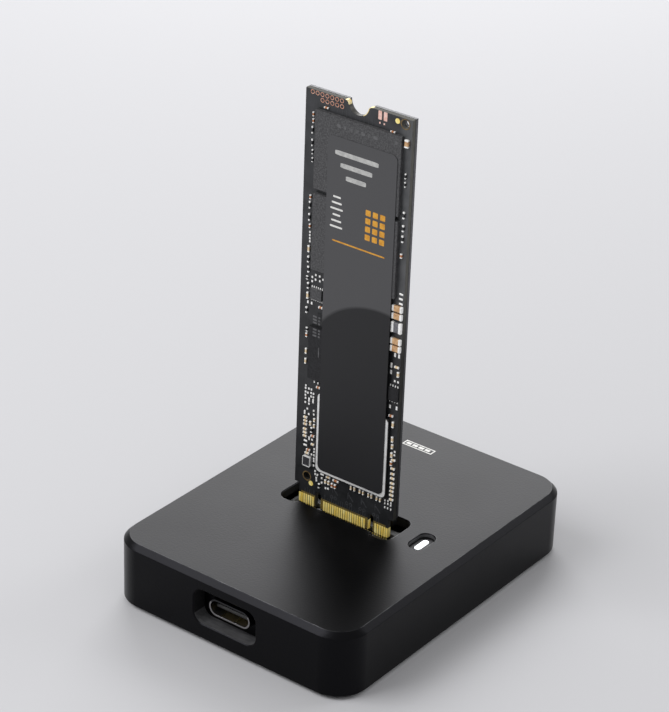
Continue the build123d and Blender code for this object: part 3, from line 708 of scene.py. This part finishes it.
def copies(master, name, places):
    """Copies a master to (x, y, z, turn in degrees about Y, scale) places and joins them."""
    made = []
    for x, y, z, turn, size in places:
        twin = master.copy()
        twin.data = master.data.copy()
        bpy.context.scene.collection.objects.link(twin)
        move = Matrix.Translation(Vector((x, y, z)) * MM) @ Matrix.Rotation(math.radians(turn), 4, "Y")
        twin.data.transform(move @ Matrix.Diagonal((*size, 1)))
        made.append(twin)
    bpy.data.objects.remove(master)
    return join(name, *made)


FACE = -0.66  # y of the board's front, where most small parts stand


def on_stick(x, height, size=(1, 1, 1), turn=0, y=FACE):
    """A place for a copy, given by its height above the stick's tip."""
    return (x, y, TIP + height, turn, size)


# %% [markdown]
# ## Two-terminal parts
# Ceramic capacitors and resistors are small bars with tinned ends that stand a little proud of the
# body. One bar along Z is cut near its ends, the end bands are widened, and the edges broken.


# %% Two-terminal master
PROUD = 1.08


def chip_bar(name, width, rise, band, body):
    """A two-terminal part along Z, 1 mm long, with its back at y = 0."""
    end = 0.5
    piece = block(name, (-width / 2, -rise, -end), (width / 2, 0, end))
    bpy.ops.object.mode_set(mode="EDIT")
    for cut in (band - end, end - band):
        bpy.ops.mesh.select_all(action="SELECT")
        bpy.ops.mesh.bisect(plane_co=(0, 0, cut * MM), plane_no=(0, 0, 1))
    bpy.ops.object.mode_set(mode="OBJECT")
    for vertex in piece.data.vertices:
        if abs(vertex.co.z) > (end - band / 2) * MM:
            vertex.co.x *= PROUD
            vertex.co.y *= PROUD if vertex.co.y < -rise / 2 * MM else 1.0
    bevel_edges(piece, 0.04)
    paint_faces(piece, (body, None), (tin, lambda c, n: abs(c.z) > end - band * 0.92))
    return piece


# %% [markdown]
# ## Places of the small parts
# Well over a hundred bars and solder joints stand in the free strips beside the packages. Each row
# of the tables gives a bar's x, its height above the tip, its turn and its length. Parts never set
# quite true in the solder, so each gets a hair of unevenness, the same on each run.

# %% Places of the small parts
UP, FLAT = 0, 90
JITTER, TWIST = 0.03, 2


def slimness(x, height):
    """How wide a part is, as a share of the common width: those near the ends are the finest."""
    if height > 66:
        return 0.65
    if x > 0 and height < 8:
        return 0.75
    return 0.8 if x < 0 and height > 54 else 1.0


def spots(rows):
    """Places from x, height above the tip, turn and length, with a hair of unevenness."""
    return [
        on_stick(x + random.uniform(-JITTER, JITTER), height, (slimness(x, height), 1, length),
                 turn + random.uniform(-TWIST, TWIST))
        for x, height, turn, length in rows
    ]


dark_rows = [
    (-9.3, 72.8, UP, 1.35), (-9.3, 70.5, UP, 1.3), (-9.15, 68.85, UP, 0.85), (-9.1, 67.4, UP, 0.85),
    (-9.4, 59.0, UP, 1.4), (-9.4, 56.7, UP, 1.4), (-9.35, 48.75, UP, 1.25), (-9.3, 46.85, UP, 1.2),
    (-9.5, 45.2, UP, 0.7), (-9.25, 43.75, UP, 1.2), (-9.4, 39.0, UP, 1.2), (-9.2, 35.25, UP, 0.8),
    (-6.6, 61.5, FLAT, 1.2), (-6.7, 25.55, FLAT, 1.1), (-7.5, 15.7, UP, 1.1), (-5.4, 5.0, UP, 0.95),
    (10.15, 70.0, UP, 1.0), (10.15, 68.5, UP, 1.0), (10.15, 62.95, UP, 1.3), (10.15, 60.55, UP, 1.2),
    (10.15, 58.6, UP, 1.3),
]
orange_rows = [
    (-9.15, 75.7, UP, 0.8), (-9.15, 74.5, UP, 0.8), (-9.3, 60.5, UP, 0.8), (-9.25, 55.1, UP, 0.8),
    (-9.2, 34.15, UP, 0.8), (-6.55, 77.55, FLAT, 0.9), (7.2, 77.1, FLAT, 0.9), (-6.3, 40.4, FLAT, 0.85),
    (-6.3, 24.7, FLAT, 0.85), (-7.15, 14.55, FLAT, 0.8), (-8.1, 11.4, FLAT, 0.8), (10.1, 55.5, UP, 0.85),
    (9.6, 24.8, FLAT, 0.9), (-2.55, 6.2, UP, 0.85), (-1.85, 6.2, UP, 0.85), (-1.7, 7.4, FLAT, 1.3),
    (10.1, 15.5, UP, 0.9),
]
cream_rows = [
    (-9.3, 50.75, UP, 1.3), (-9.25, 41.85, UP, 1.3), (-9.25, 31.0, UP, 1.1), (-9.25, 29.0, UP, 1.1),
    (10.3, 34.5, FLAT, 0.9), (10.6, 33.2, UP, 1.0), (-7.1, 12.85, FLAT, 0.7), (-8.3, 10.7, FLAT, 0.9),
    (-7.8, 16.95, UP, 0.8), (-6.9, 17.9, UP, 0.7), (-6.9, 16.7, UP, 0.7), (-3.4, 7.5, FLAT, 0.9),
    (-4.0, 6.4, UP, 0.8), (-3.3, 6.4, UP, 0.8), (10.05, 23.2, UP, 1.2), (10.1, 20.3, UP, 1.1),
    (10.1, 18.9, UP, 0.9), (10.1, 17.2, UP, 1.0), (10.45, 10.0, FLAT, 0.8),
]
cream_rows += [(-8.9, height, FLAT, 0.8) for height in (17.8, 17.1, 16.4, 15.4, 14.7, 14.0)]
cream_rows += [(10.5, height, FLAT, 0.8) for height in (16.3, 14.55, 13.5, 12.6, 11.6, 10.8, 9.2, 8.3)]
cream_rows += [(x, 7.35, UP, 0.85) for x in (1.7, 2.45, 3.65, 4.35, 5.55, 6.25, 7.4, 8.1)]
solder_rows = [
    (9.8, 36.7, UP, 0.8), (10.6, 36.7, UP, 0.8), (9.1, 34.5, UP, 1.0), (9.1, 33.2, UP, 0.8),
    (9.2, 26.5, UP, 0.7), (10.6, 26.6, UP, 0.7), (10.4, 48.4, FLAT, 0.8), (10.4, 47.5, FLAT, 0.8),
    (10.4, 46.6, FLAT, 0.8), (-9.2, 40.55, UP, 0.5), (-8.4, 40.55, UP, 0.5), (-4.85, 7.5, FLAT, 0.8),
    (-8.8, 13.0, FLAT, 0.8), (-8.8, 12.1, FLAT, 0.8), (-9.2, 18.7, UP, 0.8), (-8.3, 21.5, UP, 0.8),
    (-7.4, 21.5, UP, 0.8), (-8.0, 13.75, UP, 0.7),
]
DOT_COLUMNS = {
    -9.2: (53.9, 53.3, 52.7, 52.15), -9.1: (24.1, 23.6, 22.85, 22.2, 21.6, 20.75),
    -8.4: (45.6, 44.8, 23.7), -7.7: (46.2, 45.3), -6.8: (46.2, 45.3, 12.0, 11.4, 10.7, 10.0, 9.5, 8.6),
    -6.1: (45.8, 6.3, 5.8), -8.6: (22.8, 19.6), -8.25: (20.7, 18.6), -7.85: (23.7, 23.0, 22.3),
    -7.35: (23.0, 22.3, 13.7, 10.7), -7.15: (19.65, 18.9), -6.4: (7.6, 7.0), -5.9: (7.0,),
    -4.9: (6.7, 5.8), -4.0: (5.0,), -3.4: (5.1,), 9.1: (7.6, 7.0, 6.2), 9.75: (7.7, 7.1, 6.2),
    10.4: (7.5, 7.0, 6.2), 9.95: (31.7,), 10.65: (31.7, 18.0, 17.3),
}
dot_rows = [(x, height, UP, 0.36) for x, heights in DOT_COLUMNS.items() for height in heights]
print("bars:", len(dark_rows + orange_rows + cream_rows), "joints:", len(solder_rows + dot_rows))

# %% Small capacitors and resistors
bar_rows = [
    copies(chip_bar(kind + "_bar", width, rise, band, body), kind + "_row", spots(rows))
    for kind, width, rise, band, body, rows in (
        ("dark", 0.37, 0.28, 0.28, resistor_black, dark_rows),
        ("orange", 0.38, 0.32, 0.28, orange_ceramic, orange_rows),
        ("cream", 0.37, 0.32, 0.26, cream_ceramic, cream_rows),
    )
]
joint = block("solder_joint", (-0.18, -0.14, -0.5), (0.18, 0, 0.5))
bevel_edges(joint, 0.05)
paint_faces(joint, (tin, None))
solder_row = copies(joint, "solder_row", spots(solder_rows) + spots(dot_rows))
small_parts = join("small_parts", *bar_rows, solder_row)
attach(small_parts, "stick")
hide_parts("stick_small_parts")

# %% [markdown]
# ## Large capacitors
# At the board's right edge lie the capacitors that smooth the supply. They are made as the small
# ones are, from two wider masters: tan ones in pairs, a grey one between them, and one more tan
# one near the top.

# %% Large capacitors at the right edge
large_row = copies(chip_bar("large_bar", 1.0, 0.5, 0.24, tan_ceramic), "large_row", [
    on_stick(9.9, height, (1.05, 1, 2.1), FLAT) for height in (45.6, 44.15, 39.4, 38.0)
] + [on_stick(10.15, 75.8, (0.7, 0.9, 1.4))])
wide_part = copies(chip_bar("wide_bar", 1.0, 0.5, 0.3, grey_ceramic), "wide_part", [
    on_stick(9.9, 42.05, (1.9, 1, 2.1), FLAT)
])
large_capacitors = join("large_capacitors", large_row, wide_part)
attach(large_capacitors, "stick")
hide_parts("stick_capacitors")

# %% [markdown]
# ## Chips with leads and the crystal
# The power chips are small epoxy bodies with a row of tinned leads along two sides. A lead is a
# short bar, copied along the body. The crystal is a metal frame round a sunken lid painted dark,
# painted shade, so its face is inset and sunk.


# %% Power chips
def leaded_chip(name, x, height, size, rise, leads, pitch, resin):
    """An epoxy body with a row of leads above and below it."""
    width, length = size
    body = block(name + "_body", (x - width / 2, FACE - rise, TIP + height - length / 2),
                 (x + width / 2, FACE, TIP + height + length / 2))
    bevel_edges(body, 0.08, 2)
    paint_faces(body, (resin, None))
    lead = block(name + "_lead", (-0.13, -0.16, -0.2), (0.13, 0, 0.2))
    bevel_edges(lead, 0.04)
    paint_faces(lead, (tin, None))
    reach = length / 2 + 0.14
    places = [
        on_stick(x + (step - (leads - 1) / 2) * pitch, height + side * reach, (0.8, 1, 1))
        for step in range(leads) for side in (-1, 1)
    ]
    return join(name, body, copies(lead, name + "_leads", places))


chips = join(
    "lead_frame_chips",
    leaded_chip("left_chip", -7.25, 42.65, (2.4, 2.1), 0.5, 6, 0.44, epoxy),
    leaded_chip("right_chip", 9.9, 29.2, (1.9, 2.7), 0.5, 4, 0.52, epoxy_painted_darker),
)
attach(chips, "stick")
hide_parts("power_chips")

# %% Crystal
CAN_MIDDLE, CAN_RISE, CAN_RIM, LID_DEPTH = -8.25, 0.5, 0.12, 0.06
can = block("crystal_can", (-9.1, FACE - CAN_RISE, TIP + 8.1), (-7.4, FACE, TIP + 10.1))
bevel_edges(can, 0.2, 3, lambda m, d: abs(d.y) > 0.9)
sink_face(can, lambda c, n: n.y < -0.9, CAN_RIM, LID_DEPTH)
# The lid in the middle gets the painted shade.
paint_faces(can, (nickel, None), (lid_painted_shade, lambda c, n: (
    n.y < -0.9 and c.y > FACE - CAN_RISE + 0.04 and abs(c.x - CAN_MIDDLE) < 0.6)))
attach(can, "stick")
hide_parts("stick_crystal")
print(f"{can.name}: {len(can.data.polygons)} faces")

# %% [markdown]
# ## Bare metal on the board
# Test pads, via rings and fiducial dots are copper or gold left free of solder mask, and thin as
# foil. A via ring is a disc whose face is inset and sunk to make its hole. A pad is a plate with
# rounded corners.

# %% Rings
FOIL = 0.03


def ring(name, radius, hole, rim, centre):
    """A disc facing -Y with a sunken centre, as thick as the foil, made at the origin."""
    deselect()
    bpy.ops.mesh.primitive_cylinder_add(
        vertices=20, radius=radius * MM, depth=FOIL * MM, location=(0, -FOIL / 2 * MM, 0),
        rotation=(math.pi / 2, 0, 0),
    )
    disc = bpy.context.object
    disc.name = disc.data.name = name
    bpy.ops.object.transform_apply(location=True, rotation=True, scale=True)
    sink_face(disc, lambda c, n: n.y < -0.9, radius - hole, 0.02)
    paint_faces(disc, (rim, None), (centre, lambda c, n: math.hypot(c.x, c.z) < hole - 0.005))
    return disc


VIA_PITCH = 1.02
via_rings = copies(ring("via", 0.4, 0.29, copper, laminate), "via_rings", [
    on_stick(first + VIA_PITCH * step, height)
    for first, height, count in ((-9.6, 79.55, 7), (-7.5, 78.55, 5)) for step in range(count)
])
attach(via_rings, "stick")

dots = copies(ring("dot", 0.42, 0.36, gold, gold), "gold_dots", [
    on_stick(7.95, 79.15, (1.1, 1, 1.1)), on_stick(-7.35, 4.7, (1.15, 1, 1.15)),
])
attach(dots, "stick")


# %% Pads
def pad(name, finish):
    """A bare pad 1 mm square with rounded corners, facing -Y."""
    plate = block(name, (-0.5, -FOIL, -0.5), (0.5, 0, 0.5))
    bevel_edges(plate, 0.12, 2, lambda m, d: abs(d.y) > 0.9)
    paint_faces(plate, (finish, None))
    return plate


pads = copies(pad("copper_pad", pale_copper), "copper_pads", [
    on_stick(x, 79.2, (0.72, 1, 1.55)) for x in (4.4, 5.5)
] + [
    on_stick(x, 77.85, (0.3, 0.6, 0.3)) for x in (4.4, 5.3)
])
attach(pads, "stick")

# %% [markdown]
# ## Hole rims
# The board's tooling holes have a ring of stained metal round them. A filled circle of the ring's
# outer size has its face inset and the inner face deleted, and Solidify makes the flat ring that
# is left as thick as the foil.


# %% Hole rims
def washer(name, x, height, outer, inner, finish):
    """A flat ring on the board's front round a hole."""
    deselect()
    bpy.ops.mesh.primitive_circle_add(
        vertices=32, radius=outer * MM, fill_type="NGON", location=(x * MM, FACE * MM, (TIP + height) * MM),
        rotation=(math.pi / 2, 0, 0),
    )
    rim = bpy.context.object
    rim.name = rim.data.name = name
    bpy.ops.object.transform_apply(location=True, rotation=True, scale=True)
    bpy.ops.object.mode_set(mode="EDIT")
    bpy.ops.mesh.select_all(action="SELECT")
    bpy.ops.mesh.inset(thickness=(outer - inner) * MM, depth=0)
    bpy.ops.mesh.delete(type="FACE")
    bpy.ops.object.mode_set(mode="OBJECT")
    thick = rim.modifiers.new("thick", "SOLIDIFY")
    thick.thickness = FOIL * MM
    thick.offset = 1
    bpy.ops.object.modifier_apply(modifier="thick")
    paint_faces(rim, (finish, None))
    return rim


hole_rims = join("hole_rims", washer("upper_rim", 9.55, 79.0, 0.95, 0.77, bronze),
                 washer("lower_rim", -8.3, 5.9, 0.97, 0.77, bronze))
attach(hole_rims, "stick")

# %% [markdown]
# ## Traces under the mask
# Copper tracks show through the lacquer as faint raised lines. They run up from the gold fingers,
# past the two key notches, and along the top edge. Each is a thin bar with sloped sides. Four of
# them fork to a pair of covered vias.

# %% Traces
track = block("track", (-0.5, -0.025, -0.5), (0.5, 0, 0.5))
for vertex in track.data.vertices:
    if vertex.co.y < -0.01 * MM:
        vertex.co.x *= 0.8
paint_faces(track, (mask_line, None))
NOTCHES, NOTCH_CLEARANCE = (-5.6, 6.1), 0.9
FORKS = (-2.2, 1.2, 4.2, 7.2)
track_places = []
for x in [-8.6 + 0.5 * step for step in range(34)]:
    if all(abs(x - notch) > NOTCH_CLEARANCE for notch in NOTCHES):
        length = 0.5 + 0.9 * random.random()
        track_places.append(on_stick(x, 2.3 + length / 2, (0.17, 1, length)))
for step in range(9):
    track_places.append(on_stick(-4.2 + 0.9 * step, 77.5, (0.14, 1, 0.9 + 0.5 * random.random())))
for x in FORKS:
    track_places.append(on_stick(x - 0.2, 5.3, (0.2, 1, 1.3)))
    track_places.append(on_stick(x + 0.42, 5.0, (0.2, 1, 1.5), -42))
tracks = copies(track, "track_rows", track_places)
mask_vias = copies(ring("mask_via", 0.36, 0.17, mask_line, laminate), "mask_vias", [
    on_stick(x + side, 3.7) for x in FORKS for side in (-0.42, 0.42)
])
tracks = join("mask_tracks", tracks, mask_vias)
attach(tracks, "stick")

# %% [markdown]
# ## Plated walls beside the fingers
# On this stick the gold runs on round the tongue's ends and the walls of its two key notches, and
# those walls catch the light from the side. Each is a thin plate with broken edges. Between the
# fingers the lacquer is left off, and a film of bare, straw-coloured laminate shows.

# %% Plated walls
PLATING, FINGER_MIDDLE = 0.03, 1.12
BOARD_MIDDLE = FACE + 0.4
wall = block("wall", (-PLATING, -0.4, -0.95), (0.0, 0.4, 0.95))
bevel_edges(wall, 0.01)
paint_faces(wall, (gold, None))
plated_walls = copies(wall, "plated_walls_row", [
    on_stick(x, FINGER_MIDDLE, y=BOARD_MIDDLE)
    for x in (5.525 + PLATING, 9.925 + PLATING, -9.925, -5.025, 6.725)
])
bands = [
    block("band", (left, FACE - 0.012, TIP + 0.3), (right, FACE, TIP + 2.5))
    for left, right in ((-9.45, -6.3), (-4.95, 5.45), (6.8, 9.45))
]
for band in bands:
    paint_faces(band, (bare_laminate, None))
end_pads = copies(pad("end_pad", gold), "end_pads", [
    on_stick(x, FINGER_MIDDLE, (0.4, 1, 1.9)) for x in (-9.7, 9.7)
])
plated_edges = join("plated_edges", plated_walls, end_pads, *bands)
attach(plated_edges, "stick")

# %% [markdown]
# ## Marks on the packages
# A package carries a row of small laser marks. They are short plain bars here, in a grey only
# a little lighter than the epoxy, and a round mark shows where its first lead is.

# %% Laser marks
PACKAGE_FACE = FACE - 0.7
THIN = 0.3  # share of the foil's thickness
laser_marks = copies(pad("laser_mark", dim_ink), "laser_marks", [
    on_stick(-3.4 + 1.25 * step, 75.3, (0.45 + 0.5 * random.random(), THIN, 0.62), y=PACKAGE_FACE)
    for step in range(7)
] + [
    on_stick(x, height, (width, THIN, 0.34), y=PACKAGE_FACE)
    for height in (38.6, 38.0, 37.4, 36.1, 35.5, 34.9) for x, width in ((-7.1, 0.85), (-6.15, 0.4))
] + [on_stick(-6.1, 31.9, (0.22, THIN, 1.9), y=PACKAGE_FACE)])
pin_mark = copies(ring("pin_mark", 0.32, 0.26, dim_ink, dim_ink), "pin_mark", [
    on_stick(8.35, 75.55, (1, THIN, 1), y=PACKAGE_FACE)
])
laser_marks = join("laser_marks", laser_marks, pin_mark)
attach(laser_marks, "stick")

# %% [markdown]
# ## Label print
# The print is a plain graphic of this model's own: an amber rule, three pale bars of falling
# length, a column of white bars and a small field of amber squares. Each mark is a pad squeezed to
# ink 0.012 mm thick, because printed ink has hardly any height.

# %% Label print
LABEL_FACE = -1.48
INK = 0.4  # share of the foil's thickness
pale_bars = copies(pad("ink_bar", pale_ink), "pale_bars", [
    on_stick(0.6, 70.6 - 2.1 * row, (9.0 - 2.4 * row, INK, 0.85), y=LABEL_FACE) for row in range(3)
])
amber_bars = copies(pad("amber_bar", amber_ink), "amber_bars", [
    on_stick(1.6, 54.4, (11.0, INK, 0.28), y=LABEL_FACE),
] + [
    on_stick(3.4 + 1.5 * column, 57.0 + 1.5 * row, (1.05, INK, 1.05), y=LABEL_FACE)
    for column in range(3) for row in range(4)
])
white_bars = copies(pad("white_bar", white_ink), "white_bars", [
    on_stick(-3.2, 57.0 + 1.1 * row, (2.6 - 0.5 * (row % 3), INK, 0.34), y=LABEL_FACE) for row in range(6)
])
label_print = join("label_print", pale_bars, amber_bars, white_bars)
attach(label_print, "stick")

# %% [markdown]
# ## Mark on the dock
# The shell's top carries a small white mark behind the slot: a plain outline round four bars, in
# thin ink. The outline is a plate whose face is inset, and the inner face has the shell's finish.

# %% Dock mark
TOP = 13.1  # height of the shell's top above the table
MARK_MIDDLE = (-2.9, 26.55)
outline = block("outline", (-6.2, 25.7, TOP), (0.4, 27.4, TOP + 0.015))
sink_face(outline, lambda c, n: n.z > 0.9, 0.26, 0)
paint_faces(outline, (white_ink, None), (shell_finish, lambda c, n: (
    n.z > 0.9 and abs(c.x - MARK_MIDDLE[0]) < 0.1 and abs(c.y - MARK_MIDDLE[1]) < 0.1)))
bars = [block("bar", (left, 26.2, TOP), (left + 1.1, 26.9, TOP + 0.02)) for left in (-5.7, -4.3, -2.9, -1.5)]
for bar in bars:
    paint_faces(bar, (white_ink, None))
mark = join("mark_frame", outline, *bars)
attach(mark, "dock")

# %% [markdown]
# ## End
# The last cell only says that the pieces are done.

# %% Finish
print("pieces done")
